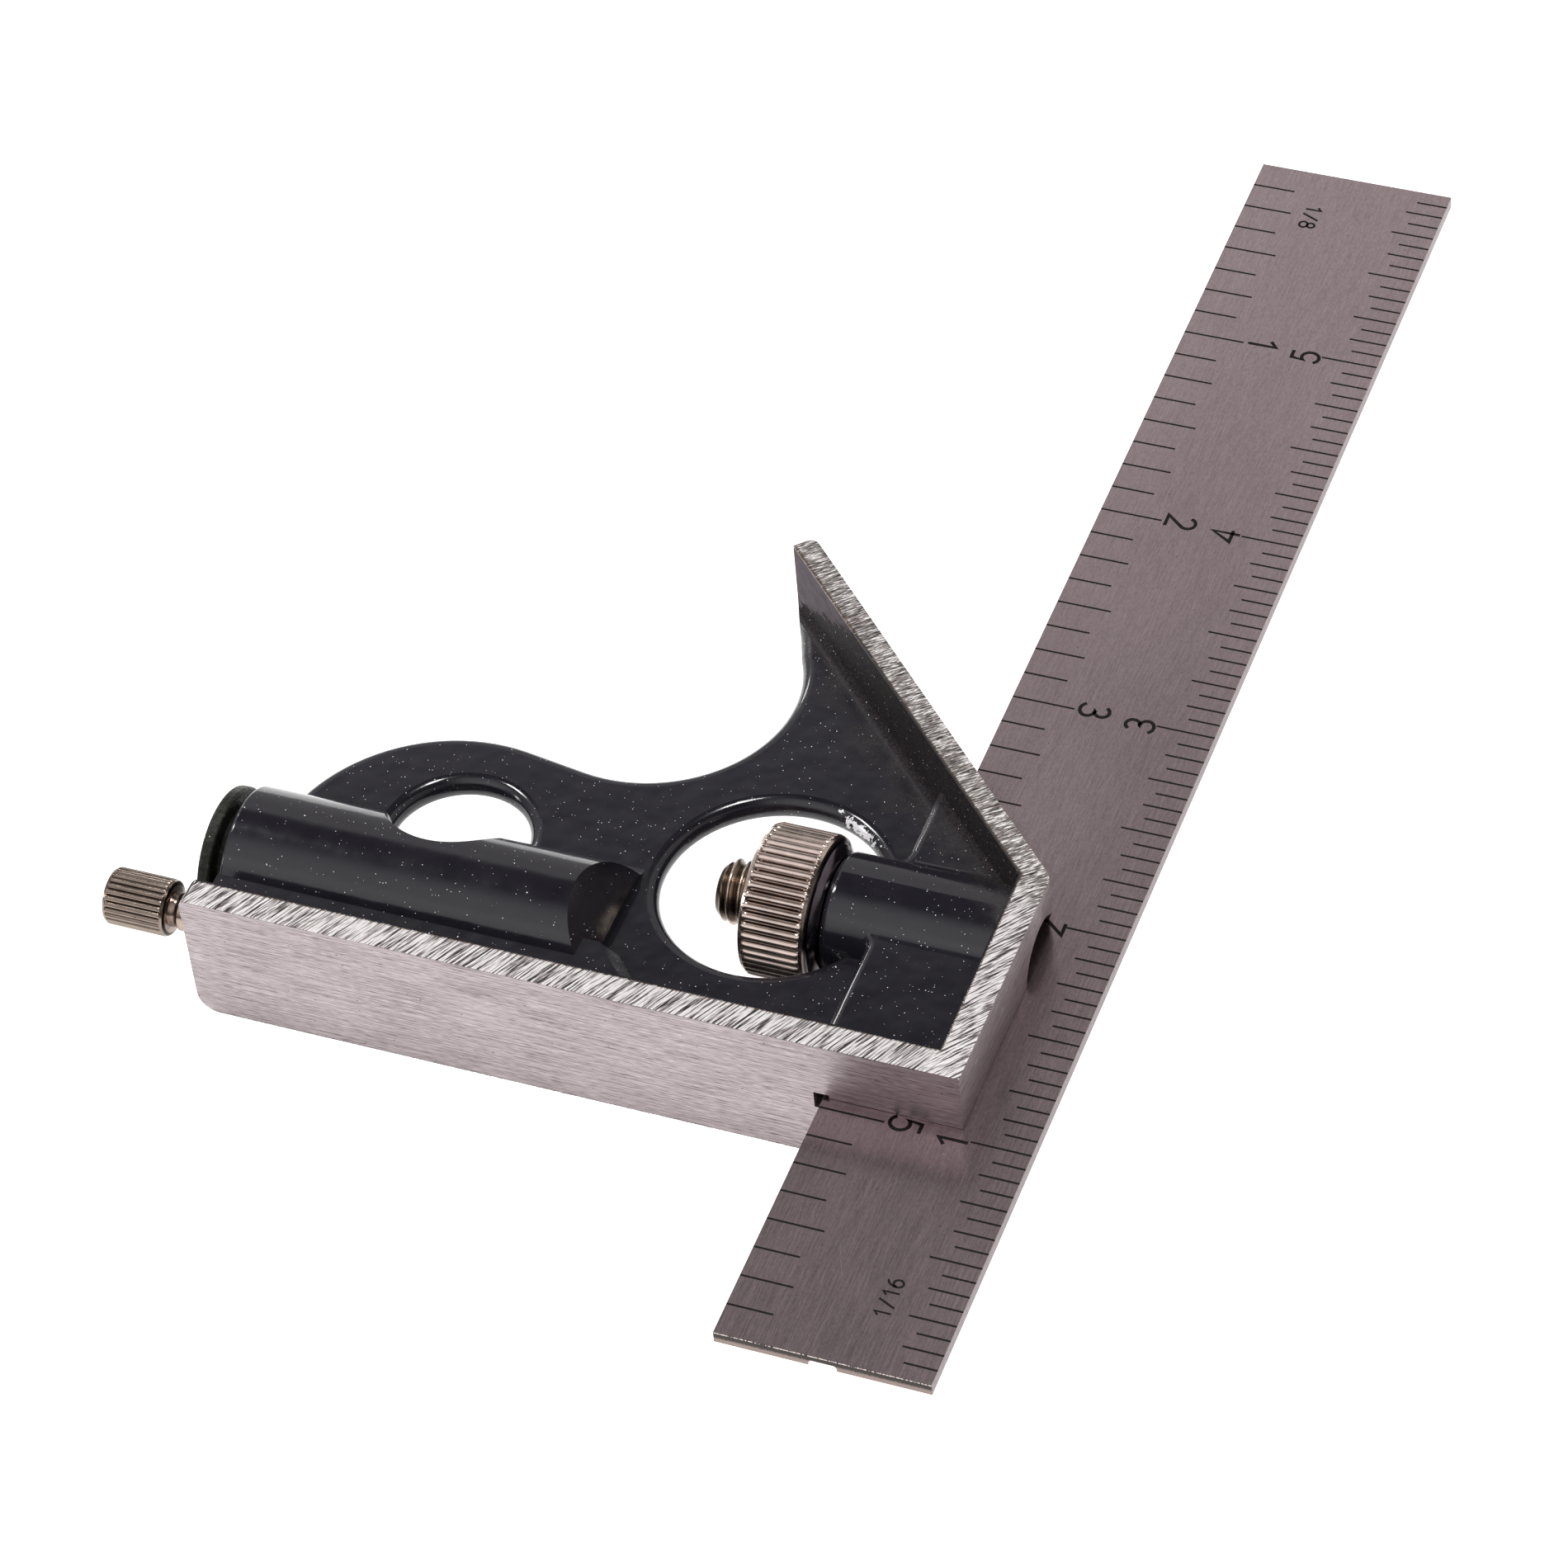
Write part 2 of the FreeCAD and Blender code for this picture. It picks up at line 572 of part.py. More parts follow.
def scriber_needle():
    cone_length = 7.0
    shank = rod(NEEDLE_RADIUS, scriber_socket_end(), NEEDLE_TIP - cone_length, SCRIBER_Y)
    point = Part.makeCone(
        NEEDLE_RADIUS, 0.08, cone_length, V(NEEDLE_TIP - cone_length, SCRIBER_Y, MID), V(1, 0, 0),
    )
    return fused(shank, point)


PARTS = {
    "head_casting": head_casting,
    "blade": blade,
    "clamp_bolt": clamp_bolt,
    "clamp_nut": clamp_nut,
    "clamp_spring": clamp_spring,
    "level_end_plug": level_end_plug,
    "level_vial": level_vial,
    "level_liquid": level_liquid,
    "level_bedding": level_bedding,
    "scriber_bush": scriber_bush,
    "scriber_head": scriber_head,
    "scriber_needle": scriber_needle,
}

os.makedirs("parts", exist_ok=True)
for name, make in PARTS.items():
    shape = make()
    print(name, shape.isValid(), len(shape.Solids), round(shape.Volume, 2))
    shape.exportStep(os.path.join("parts", name + ".step"))
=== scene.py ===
import math

import bmesh
import bpy
from mathutils import Matrix, Vector


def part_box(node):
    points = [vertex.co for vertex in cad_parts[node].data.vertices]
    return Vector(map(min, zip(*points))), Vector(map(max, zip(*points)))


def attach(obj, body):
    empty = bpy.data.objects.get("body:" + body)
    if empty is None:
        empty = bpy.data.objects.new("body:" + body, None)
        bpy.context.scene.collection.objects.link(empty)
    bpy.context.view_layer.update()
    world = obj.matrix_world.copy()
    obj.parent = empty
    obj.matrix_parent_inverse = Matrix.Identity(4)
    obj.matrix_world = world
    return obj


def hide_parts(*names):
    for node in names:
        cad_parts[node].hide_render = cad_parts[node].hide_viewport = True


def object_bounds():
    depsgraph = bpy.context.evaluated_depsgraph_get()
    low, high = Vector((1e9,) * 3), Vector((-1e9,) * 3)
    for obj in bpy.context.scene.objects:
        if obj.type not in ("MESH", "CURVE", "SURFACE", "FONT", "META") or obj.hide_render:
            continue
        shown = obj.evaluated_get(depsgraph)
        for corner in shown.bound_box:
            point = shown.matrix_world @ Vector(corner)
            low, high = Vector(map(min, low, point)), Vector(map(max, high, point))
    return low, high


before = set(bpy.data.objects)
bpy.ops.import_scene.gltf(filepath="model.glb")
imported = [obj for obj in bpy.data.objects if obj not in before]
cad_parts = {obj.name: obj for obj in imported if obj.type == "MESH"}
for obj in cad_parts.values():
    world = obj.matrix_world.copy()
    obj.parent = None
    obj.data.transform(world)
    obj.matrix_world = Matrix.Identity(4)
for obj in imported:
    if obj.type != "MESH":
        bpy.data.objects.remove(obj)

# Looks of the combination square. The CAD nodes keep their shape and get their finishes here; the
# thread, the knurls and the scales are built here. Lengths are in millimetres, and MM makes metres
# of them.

cad_low, cad_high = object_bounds()

MM = 0.001
MID = 7.0                       # height of the head's mid plane
MITRE_SUM = 36.5                # x + y on the mitre face
SIDE_WALL = 12.5                # x of the side wall
STOCK_RIM = 2.8
SIDE_RIM = 2.7
MITRE_RIM = 2.2
WEB_HALF = 1.2
BLADE_WIDTH = 19.0
CLAMP_Y = 20.7                  # the axes of the clamp, the level and the scriber lie along X
LEVEL_Y = 12.0
SCRIBER_Y = 4.7
NUT_RADIUS = 6.85
NUT_BAND = 6.2                  # length of the knurl
NUT_GROOVE = 0.40
NUT_RIBS = 44
SCRIBER_RADIUS = 2.6
SCRIBER_BAND = 6.0
SCRIBER_GROOVE = 0.22
SCRIBER_RIBS = 26
THREAD_PITCH = 1.0
THREAD_CREST = 2.94
THREAD_ROOT = 2.42
BOLT_COLLAR_LEFT = -2.1         # x where the shank ends and the bolt's collar starts
BUBBLE_HALF = 4.6               # from the vial's middle to each of its lines
TICK_WIDTH = 0.19
INCH = 25.4
DIAGONAL = math.sqrt(2)


# ---------------------------------------------------------------- node trees

class Graph:
    """Short calls that add nodes to a node tree."""

    def __init__(self, tree):
        self.nodes = tree.nodes
        self.links = tree.links

    def feed(self, socket, value):
        if isinstance(value, bpy.types.NodeSocket):
            self.links.new(value, socket)
        else:
            socket.default_value = value

    def split(self, vector):
        node = self.nodes.new("ShaderNodeSeparateXYZ")
        self.links.new(vector, node.inputs[0])
        return node.outputs

    def join(self, x, y, z):
        node = self.nodes.new("ShaderNodeCombineXYZ")
        for socket, value in zip(node.inputs, (x, y, z)):
            self.feed(socket, value)
        return node.outputs[0]

    def math(self, operation, *values):
        node = self.nodes.new("ShaderNodeMath")
        node.operation = operation
        for socket, value in zip(node.inputs, values):
            self.feed(socket, value)
        return node.outputs[0]

    def vector(self, operation, *values, output="Vector"):
        node = self.nodes.new("ShaderNodeVectorMath")
        node.operation = operation
        for socket, value in zip(node.inputs, values):
            self.feed(socket, value)
        return node.outputs[output]

    def add(self, a, b):
        return self.math("ADD", a, b)

    def sub(self, a, b):
        return self.math("SUBTRACT", a, b)

    def mul(self, a, b):
        return self.math("MULTIPLY", a, b)

    def both(self, *masks):
        out = masks[0]
        for mask in masks[1:]:
            out = self.math("MINIMUM", out, mask)
        return out

    def either(self, *masks):
        out = masks[0]
        for mask in masks[1:]:
            out = self.math("MAXIMUM", out, mask)
        return out

    def ramp(self, value, low, high, to_low=0.0, to_high=1.0, shape="LINEAR"):
        """Straight line or smooth step between two levels, flat outside them."""
        node = self.nodes.new("ShaderNodeMapRange")
        node.interpolation_type = shape
        self.feed(node.inputs["Value"], value)
        self.feed(node.inputs["From Min"], low)
        self.feed(node.inputs["From Max"], high)
        self.feed(node.inputs["To Min"], to_low)
        self.feed(node.inputs["To Max"], to_high)
        return node.outputs[0]

    def above(self, value, level, soft=0.01):
        return self.ramp(value, level - soft, level + soft)

    def below(self, value, level, soft=0.01):
        return self.ramp(value, level - soft, level + soft, 1.0, 0.0)

    def blend(self, factor, a, b):
        """Number between a and b."""
        node = self.nodes.new("ShaderNodeMix")
        node.data_type = "FLOAT"
        self.feed(node.inputs["Factor"], factor)
        self.feed(node.inputs[2], a)
        self.feed(node.inputs[3], b)
        return node.outputs[0]

    def paint(self, factor, a, b):
        """Colour between a and b."""
        node = self.nodes.new("ShaderNodeMix")
        node.data_type = "RGBA"
        self.feed(node.inputs["Factor"], factor)
        for socket, value in ((node.inputs[6], a), (node.inputs[7], b)):
            self.feed(socket, value if isinstance(value, bpy.types.NodeSocket) else (*value, 1.0))
        return node.outputs[2]

    def shades(self, value, *stops):
        """Colour ramp over (level, colour) stops."""
        node = self.nodes.new("ShaderNodeValToRGB")
        self.feed(node.inputs[0], value)
        elements = node.color_ramp.elements
        while len(elements) < len(stops):
            elements.new(0.5)
        for element, (level, colour) in zip(elements, stops):
            element.position = level
            element.color = (*colour, 1.0)
        return node.outputs[0]

    def noise(self, vector, scale=1.0, detail=2.0, roughness=0.5):
        node = self.nodes.new("ShaderNodeTexNoise")
        self.links.new(vector, node.inputs["Vector"])
        node.inputs["Scale"].default_value = scale
        node.inputs["Detail"].default_value = detail
        node.inputs["Roughness"].default_value = roughness
        return node.outputs["Fac"]


class Tree(Graph):
    """A material's node tree, with the place on the surface in millimetres of the part's frame."""

    def __init__(self, name):
        self.material = bpy.data.materials.new(name)
        self.material.use_nodes = True
        super().__init__(self.material.node_tree)
        self.nodes.clear()
        coordinates = self.nodes.new("ShaderNodeTexCoord").outputs["Object"]
        self.place = self.vector("MULTIPLY", coordinates, (1 / MM, 1 / MM, 1 / MM))
        self.x, self.y, self.z = self.split(self.place)

    def distance(self, axis_y):
        """Distance from an axis along X in the head's mid plane."""
        across = self.math("POWER", self.sub(self.y, axis_y), 2.0)
        return self.math("SQRT", self.add(across, self.math("POWER", self.sub(self.z, MID), 2.0)))

    def stretched(self, sx, sy, sz, vector=None):
        return self.vector("MULTIPLY", vector or self.place, (sx, sy, sz))

    def specks(self, scale, radius, share, vector=None):
        """Small round specks: a share of the cells holds one of that radius, in millimetres."""
        node = self.nodes.new("ShaderNodeTexVoronoi")
        self.links.new(vector or self.place, node.inputs["Vector"])
        node.inputs["Scale"].default_value = scale
        chosen = self.below(self.split(node.outputs["Color"])[0], share)
        full = radius * scale
        size = self.ramp(self.split(node.outputs["Color"])[1], 0.0, 1.0, 0.35 * full, full)
        near = self.ramp(self.math("DIVIDE", node.outputs["Distance"], size), 0.6, 1.0, 1.0, 0.0)
        return self.mul(chosen, near)

    def bump(self, height, distance, strength=1.0):
        """Bump of a height field whose full range is that many millimetres."""
        node = self.nodes.new("ShaderNodeBump")
        node.inputs["Distance"].default_value = distance * MM
        self.feed(node.inputs["Strength"], strength)
        self.feed(node.inputs["Height"], height)
        return node.outputs[0]

    def finish(self, **sockets):
        shader = self.nodes.new("ShaderNodeBsdfPrincipled")
        for name, value in sockets.items():
            socket = shader.inputs[name.replace("_", " ")]
            if isinstance(value, tuple) and len(value) == 3:
                value = (*value, 1.0)
            self.feed(socket, value)
        output = self.nodes.new("ShaderNodeOutputMaterial")
        self.links.new(shader.outputs[0], output.inputs[0])
        return self.material


# ---------------------------------------------------------------- finishes

def head_regions(t):
    """Where the casting is bare: its machined faces, its rims, its slot and bores, and the fin's end.

    The measures that the finishes share come with the masks.
    """
    from_mid = t.math("ABSOLUTE", t.sub(t.z, MID))
    past_mitre = t.mul(t.sub(t.add(t.x, t.y), MITRE_SUM), 1 / DIAGONAL)
    beyond = t.either(t.mul(t.y, -1), t.sub(t.x, SIDE_WALL), past_mitre)
    outside = t.above(beyond, -0.42)

    ragged = t.noise(t.place, 4.5, 3.0, 0.6)
    on_rim = t.either(
        t.sub(STOCK_RIM, t.y),
        t.sub(t.x, SIDE_WALL - SIDE_RIM),
        t.add(past_mitre, MITRE_RIM),
    )
    inside_edge = t.sub(on_rim, t.mul(ragged, 0.30))
    rim_top = t.above(from_mid, MID - 0.04)
    rim = t.both(rim_top, t.ramp(inside_edge, 0.0, 0.05))

    # The enamel on the fin's inner wall stops at a ragged slanting edge short of the tip.
    from_tip = t.mul(t.add(t.sub(t.x, t.y), 79.5), 1 / DIAGONAL)
    teeth = t.noise(t.join(t.mul(from_tip, 0.5), t.mul(from_mid, 3.4), 0.0), 1.0, 3.0, 0.7)
    reach = t.add(t.mul(t.sub(from_mid, WEB_HALF), 1.95), t.add(t.mul(teeth, 7.0), -2.15))
    fin_end = t.both(
        t.above(t.sub(reach, from_tip), 0.0, 0.05),
        t.above(past_mitre, -3.3),
        t.below(past_mitre, -0.45),
        t.above(from_mid, WEB_HALF + 0.25),
    )
    slot = t.both(t.below(from_mid, 1.12), t.above(t.x, -1.65))
    from_axis = t.distance(CLAMP_Y)
    bore = t.both(t.below(from_axis, 4.08), t.above(t.x, -6.1))
    return {
        "bare": t.either(outside, rim, fin_end, slot, bore),
        "fin_end": t.both(fin_end, t.below(from_mid, MID - 0.1)),
        "fin_wall": t.both(
            t.above(past_mitre, -MITRE_RIM - 1.5, 0.5),
            t.below(past_mitre, -MITRE_RIM + 0.35),
            t.below(from_mid, MID - 0.1),
        ),
        "rim_top": rim_top,
        "inside_edge": inside_edge,
        "past_mitre": past_mitre,
        "from_mid": from_mid,
    }


def strokes(t, degrees, along, across, detail=3.0):
    """Straight grinding strokes at an angle from X, with noise scales along and across them."""
    turned = t.nodes.new("ShaderNodeVectorRotate")
    turned.rotation_type = "Z_AXIS"
    t.links.new(t.place, turned.inputs["Vector"])
    turned.inputs["Angle"].default_value = -math.radians(degrees)
    return t.noise(t.stretched(along, across, 0.2, turned.outputs[0]), 1.0, detail, 0.62)


def rim_finish(t, past_mitre):
    """Height and colour of the ground rims: long strokes on the stock, finer on the side and the fin."""
    on_side = t.above(t.x, SIDE_WALL - SIDE_RIM - 0.6, 0.5)
    on_fin = t.above(past_mitre, -MITRE_RIM - 0.5, 0.3)
    stock = t.add(t.mul(strokes(t, 62, 0.30, 5.6), 0.7), t.mul(strokes(t, 56, 0.6, 9.0), 0.3))
    side = t.add(t.mul(strokes(t, 52, 0.40, 6.0), 0.7), t.mul(strokes(t, 44, 0.8, 9.0), 0.3))
    fin = t.add(t.mul(strokes(t, 42, 0.80, 6.0), 0.75), t.mul(strokes(t, 55, 2.0, 9.0), 0.25))
    height = t.blend(on_fin, t.blend(on_side, stock, side), fin)
    broad = t.shades(
        height,
        (0.42, (0.03, 0.025, 0.025)),
        (0.455, (0.18, 0.155, 0.15)),
        (0.49, (0.46, 0.42, 0.415)),
        (0.54, (0.84, 0.81, 0.805)),
    )
    short = t.shades(
        height,
        (0.40, (0.03, 0.025, 0.025)),
        (0.46, (0.17, 0.15, 0.14)),
        (0.53, (0.34, 0.305, 0.29)),
        (0.60, (0.98, 0.96, 0.94)),
    )
    return height, t.paint(on_fin, broad, short)


def face_finish(t, from_mid):
    """Height and colour of the milled faces: fine lines along the face, blotches and small dark pits."""
    run = t.sub(t.x, t.y)
    waver = t.mul(t.noise(t.stretched(0.05, 0.05, 0.3), 1.0, 2.0), 2.0)
    lines = t.noise(t.join(t.mul(run, 0.14), t.add(t.mul(t.z, 6.0), waver), 0.0), 1.0, 3.0, 0.6)
    scratches = t.noise(t.join(t.mul(run, 0.9), t.mul(t.z, 13.0), 3.0), 1.0, 2.0, 0.5)
    blotch = t.noise(t.stretched(0.12, 0.12, 0.35), 1.0, 3.0, 0.6)
    height = t.add(t.mul(lines, 0.5), t.mul(scratches, 0.5))
    colour = t.shades(
        t.add(t.mul(height, 0.88), t.mul(blotch, 0.12)),
        (0.36, (0.12, 0.098, 0.100)),
        (0.44, (0.27, 0.228, 0.233)),
        (0.52, (0.36, 0.310, 0.316)),
        (0.62, (0.47, 0.410, 0.416)),
    )
    dashes = t.specks(1.0, 0.085, 0.10, t.join(t.mul(run, 0.5), t.mul(t.z, 2.6), t.mul(t.x, 0.02)))
    pits = t.either(t.specks(2.4, 0.080, 0.10), t.mul(dashes, 0.8))
    colour = t.paint(pits, colour, (0.03, 0.025, 0.025))
    front_edge = t.both(t.below(t.y, 0.10, 0.05), t.above(from_mid, 6.90, 0.04))
    return height, t.paint(t.mul(front_edge, t.ramp(lines, 0.40, 0.52)), colour, (0.03, 0.025, 0.025))


def chipped_lip(t):
    """Ragged near-white patches on one side of the upper lip of the nut's window: a painted highlight."""
    from_x, from_y = t.sub(t.x, -7.6), t.sub(t.y, 30.2)
    along = t.math("ABSOLUTE", t.add(t.mul(from_x, 0.88), t.mul(from_y, -0.47)))
    across = t.math("ABSOLUTE", t.add(t.mul(from_x, 0.47), t.mul(from_y, 0.88)))
    ragged = t.noise(t.place, 1.5, 3.0, 0.6)
    lighter_field = t.sub(ragged, t.add(t.mul(along, 0.06), t.mul(across, 0.42)))
    return t.both(t.ramp(lighter_field, 0.37, 0.39), t.above(t.z, MID))


def cast_head():
    """Gloss enamel over a rough casting, with bare rims and faces."""
    t = Tree("cast_head_enamel")
    where = head_regions(t)
    bare, rim_top = where["bare"], where["rim_top"]
    from_mid, past_mitre = where["from_mid"], where["past_mitre"]

    rim_height, rim_colour = rim_finish(t, past_mitre)
    face_height, face_colour = face_finish(t, from_mid)
    metal = t.paint(rim_top, face_colour, rim_colour)
    mottle = t.noise(t.stretched(0.8, 0.8, 1.6), 1.0, 3.0, 0.6)
    metal = t.paint(where["fin_end"], metal, t.paint(mottle, (0.045, 0.037, 0.043), (0.13, 0.108, 0.124)))

    # A brown line where the rims were ground through the enamel.
    grit = t.noise(t.place, 6.0, 3.0, 0.75)
    at_edge = t.ramp(where["inside_edge"], 0.10, 0.16, 1.0, 0.0)
    ground_line = t.both(rim_top, at_edge, t.ramp(grit, 0.40, 0.50))
    metal = t.paint(ground_line, metal, (0.10, 0.065, 0.04))

    broken = t.ramp(t.add(past_mitre, t.mul(t.noise(t.place, 0.35, 2.0), 9.0)), -2.0, 1.5)
    sandy = t.either(broken, where["fin_wall"])
    patches = t.noise(t.place, 0.30, 3.0, 0.6)
    enamel = t.paint(patches, (0.0085, 0.0078, 0.0115), (0.0175, 0.0163, 0.0215))
    enamel = t.paint(t.mul(sandy, t.ramp(grit, 0.45, 0.65)), enamel, (0.050, 0.039, 0.033))
    # White specks of dust, and near-white patches on the window's upper lip that are a painted highlight.
    dust = t.either(t.specks(3.4, 0.06, 0.22), t.specks(1.8, 0.085, 0.06))
    enamel = t.paint(t.either(dust, chipped_lip(t)), enamel, (0.90, 0.90, 0.93))

    swell = t.noise(t.place, 0.45, 1.0, 0.5)
    paint_relief = t.bump(t.add(t.mul(swell, 0.9), t.mul(grit, t.blend(sandy, 0.015, 0.45))), 0.06, 0.5)
    metal_relief = t.bump(t.blend(rim_top, face_height, rim_height), 0.10, 0.7)
    normal = t.nodes.new("ShaderNodeMix")
    normal.data_type = "VECTOR"
    t.feed(normal.inputs["Factor"], bare)
    t.links.new(paint_relief, normal.inputs[4])
    t.links.new(metal_relief, normal.inputs[5])

    gloss = t.add(t.mul(patches, 0.12), t.blend(sandy, 0.08, 0.30))
    milled = t.ramp(face_height, 0.35, 0.65, 0.48, 0.36)
    ground = t.blend(rim_top, milled, t.ramp(rim_height, 0.4, 0.6, 0.55, 0.34))
    return t.finish(
        Base_Color=t.paint(bare, enamel, metal),
        Metallic=t.mul(t.sub(bare, where["fin_end"]), t.blend(rim_top, 0.92, 0.70)),
        Roughness=t.blend(where["fin_wall"], t.blend(bare, gloss, ground), 0.6),
        Specular_IOR_Level=t.blend(where["fin_wall"], 0.50, 0.06),
        Normal=normal.outputs[1],
    )


def blade_steel():
    """Satin stainless with a lengthwise grain; its sheared edges are darker."""
    t = Tree("blade_brushed_steel")
    blade_near, blade_far = (corner.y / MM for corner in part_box("blade"))
    grain = t.noise(t.stretched(13.0, 0.30, 2.0), 1.0, 3.0, 0.6)
    mottle = t.noise(t.stretched(6.0, 2.6, 1.0), 1.0, 4.0, 0.7)
    stain = t.noise(t.stretched(0.10, 0.035, 0.2), 1.0, 3.0, 0.5)
    level = t.add(t.mul(grain, 0.42), t.add(t.mul(mottle, 0.42), t.mul(stain, 0.16)))
    colour = t.shades(
        level,
        (0.36, (0.33, 0.262, 0.272)),
        (0.50, (0.45, 0.360, 0.372)),
        (0.64, (0.56, 0.455, 0.468)),
    )
    pits = t.specks(2.2, 0.08, 0.06)
    colour = t.paint(t.mul(pits, 0.8), colour, (0.04, 0.035, 0.04))
    flecks = t.specks(1.1, 0.16, 0.03)
    colour = t.paint(t.mul(flecks, 0.35), colour, (0.80, 0.76, 0.74))
    scratch = t.either(
        t.ramp(strokes(t, 62, 0.07, 9.0, 2.0), 0.72, 0.77),
        t.ramp(strokes(t, 112, 0.09, 10.0, 2.0), 0.735, 0.78),
    )
    colour = t.paint(t.mul(scratch, 0.35), colour, (0.78, 0.74, 0.73))
    off_centre = t.math("ABSOLUTE", t.sub(t.x, BLADE_WIDTH / 2))
    sides = t.above(off_centre, BLADE_WIDTH / 2 - 0.03, 0.02)
    ends = t.either(t.below(t.y, blade_near + 0.03, 0.02), t.above(t.y, blade_far - 0.03, 0.02))
    burr = t.above(t.add(t.z, t.mul(mottle, 0.6)), 7.25, 0.12)
    sheared = t.paint(burr, t.paint(mottle, (0.15, 0.12, 0.11), (0.27, 0.21, 0.19)), (0.035, 0.030, 0.027))
    lip = t.both(t.above(t.z, 7.50, 0.03), t.ramp(mottle, 0.46, 0.52))
    sheared = t.paint(lip, sheared, (0.62, 0.55, 0.52))
    colour = t.paint(sides, colour, t.paint(mottle, (0.12, 0.095, 0.098), (0.34, 0.275, 0.285)))
    colour = t.paint(ends, colour, sheared)
    relief = t.bump(t.add(t.mul(grain, 0.6), t.mul(mottle, 0.4)), 0.003, 0.5)
    return t.finish(
        Base_Color=colour,
        Metallic=t.sub(1.0, sides),
        Specular_IOR_Level=t.blend(sides, 0.5, 0.1),
        Roughness=t.ramp(t.add(grain, t.mul(stain, 0.5)), 0.5, 1.0, 0.23, 0.27),
        Normal=relief,
    )


def plated(name, axis_y, top_radius, depth, rough, light, dark, plain):
    """Nickel on a turned piece along X: lighter on its ribs, dark in the grooves as painted shade, plain
    further in.
    """
    t = Tree(name)
    radius = t.distance(axis_y)
    cloud = t.noise(t.place, 0.55, 3.0, 0.6)
    turning = t.noise(t.stretched(9.0, 0.7, 0.7), 1.0, 3.0, 0.6)
    lighter_field = t.ramp(radius, top_radius - depth, top_radius - depth * 0.40)
    tone = t.mul(lighter_field, t.ramp(cloud, 0.25, 0.65, 0.7, 1.0))
    # Light on the ribs, dark in the grooves: the grooves' dark colour is painted shade.
    colour = t.paint(tone, dark, light)
    colour = t.paint(t.below(radius, top_radius - depth - 0.2, 0.05), colour, t.paint(cloud, dark, plain))
    spots = t.specks(0.9, 0.14, 0.30)
    colour = t.paint(t.mul(spots, 0.7), colour, (0.05, 0.04, 0.035))
    relief = t.bump(t.add(t.mul(turning, 0.6), t.mul(cloud, 0.4)), 0.008, 0.5)
    return t.finish(
        Base_Color=colour,
        Metallic=1.0,
        Roughness=t.add(t.mul(t.add(turning, cloud), 0.10), rough - 0.06),
        Normal=relief,
    )


def drawn_metal(name, light, dark, rough):
    """Small turned or drawn pieces inside the tool."""
    t = Tree(name)
    lay = t.noise(t.stretched(7.0, 0.8, 0.8), 1.0, 3.0, 0.6)
    cloud = t.noise(t.place, 0.8, 3.0, 0.6)
    colour = t.paint(t.ramp(t.add(t.mul(lay, 0.5), t.mul(cloud, 0.5)), 0.3, 0.7), dark, light)
    return t.finish(
        Base_Color=colour,
        Metallic=1.0,
        Roughness=t.ramp(lay, 0.3, 0.7, rough, rough + 0.16),
        Normal=t.bump(lay, 0.02, 0.6),
    )


def plug_plastic():
    t = Tree("plug_dull_black")
    grain = t.noise(t.place, 2.6, 4.0, 0.65)
    dimple = t.specks(1.6, 0.30, 0.6)
    colour = t.shades(
        grain,
        (0.32, (0.006, 0.007, 0.005)),
        (0.55, (0.014, 0.015, 0.011)),
        (0.75, (0.06, 0.06, 0.045)),
    )
    dust = t.specks(2.0, 0.07, 0.25)
    colour = t.paint(dust, colour, (0.5, 0.5, 0.42))
    relief = t.bump(t.sub(grain, t.mul(dimple, 0.6)), 0.12, 0.7)
    return t.finish(
        Base_Color=colour,
        Roughness=t.ramp(grain, 0.3, 0.7, 0.30, 0.50),
        Specular_IOR_Level=0.2,
        Normal=relief,
    )


def plaster():
    t = Tree("setting_plaster")
    grain = t.noise(t.place, 3.0, 4.0, 0.7)
    colour = t.paint(grain, (0.70, 0.68, 0.62), (0.88, 0.87, 0.83))
    return t.finish(
        Base_Color=colour,
        Roughness=t.ramp(grain, 0.3, 0.7, 0.75, 0.95),
        Normal=t.bump(grain, 0.08, 0.6),
    )


def clear(name, tint, rough, index):
    t = Tree(name)
    waver = t.noise(t.stretched(0.2, 1.0, 1.0), 1.0, 2.0)
    colour = t.paint(waver, tint, tuple(min(1.0, c * 1.06) for c in tint))
    return t.finish(
        Base_Color=colour,
        Roughness=t.ramp(waver, 0.3, 0.7, rough, rough + 0.03),
        IOR=index,
        Transmission_Weight=1.0,
        Normal=t.bump(waver, 0.01, 0.3),
    )


def etch_black():
    t = Tree("etched_black")
    grain = t.noise(t.stretched(6.0, 3.0, 6.0), 1.0, 3.0, 0.6)
    colour = t.paint(t.ramp(grain, 0.35, 0.75), (0.003, 0.0025, 0.0025), (0.012, 0.010, 0.010))
    return t.finish(
        Base_Color=colour,
        Roughness=t.ramp(grain, 0.3, 0.7, 0.55, 0.75),
        Specular_IOR_Level=0.15,
        Normal=t.bump(grain, 0.01, 0.5),
    )


def dress(obj, material):
    obj.data.materials.clear()
    obj.data.materials.append(material)
    return obj


# ---------------------------------------------------------------- turned pieces

def mesh_object(name, bm, sharp_degrees=35):
    bmesh.ops.recalc_face_normals(bm, faces=bm.faces)
    mesh = bpy.data.meshes.new(name)
    bm.to_mesh(mesh)
    bm.free()
    mesh.shade_smooth()
    mesh.set_sharp_from_angle(angle=math.radians(sharp_degrees))
    obj = bpy.data.objects.new(name, mesh)
    bpy.context.scene.collection.objects.link(obj)
    return obj


